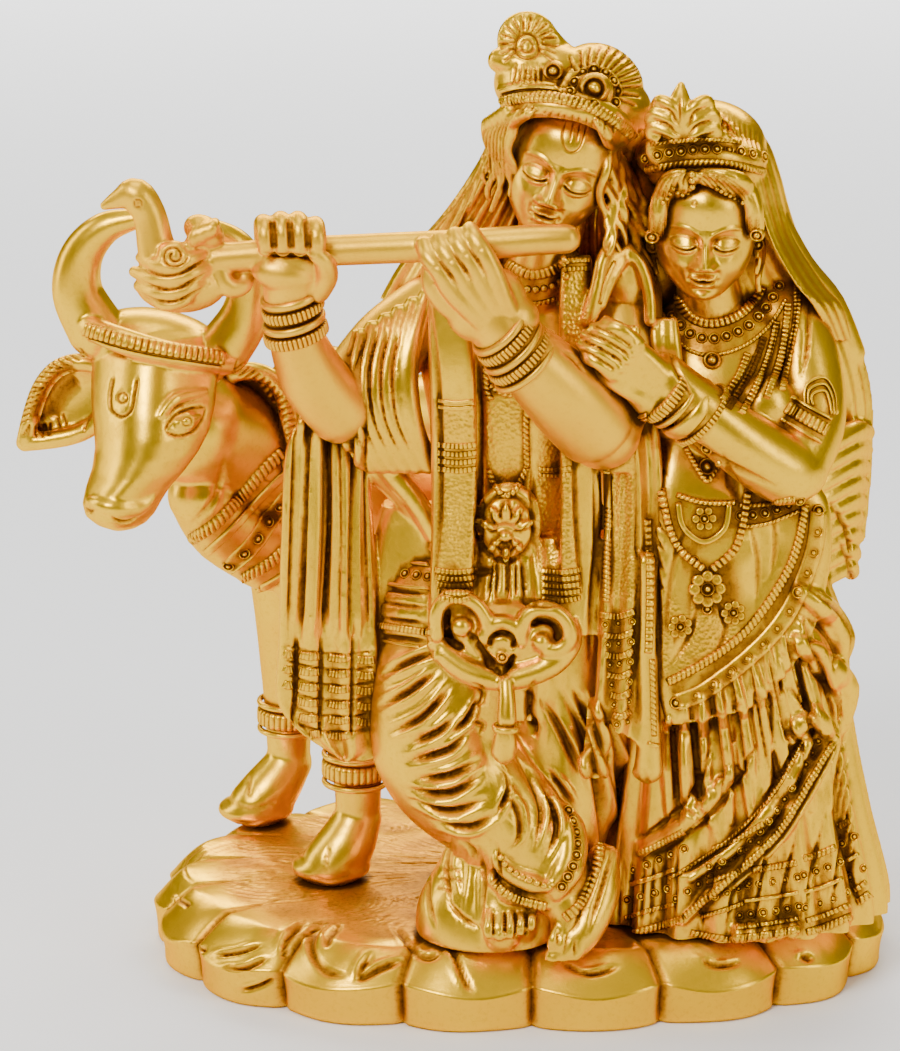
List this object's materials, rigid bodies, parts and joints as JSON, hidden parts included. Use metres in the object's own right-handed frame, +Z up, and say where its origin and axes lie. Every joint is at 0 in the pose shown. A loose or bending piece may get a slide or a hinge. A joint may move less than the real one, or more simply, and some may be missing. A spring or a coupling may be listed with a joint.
{
  "type": "brass figurine",
  "caption": "cast brass statue of a flute player and his companion before a cow, on a lobed lotus plate, in antique gold with brown in the recesses",
  "frame": {"origin": "middle of the base's underside", "axes": "+Z up, front towards -Y, the cow's head towards -X"},
  "size_m": [0.1921, 0.1203, 0.2135],
  "materials": {
    "antique_brass": "polished, with brown lacquer left in the recesses"
  },
  "bodies": {
    "root": {"base": "antique_brass", "couple_with_flute": "antique_brass", "cow": "antique_brass"}
  },
  "joints": []
}
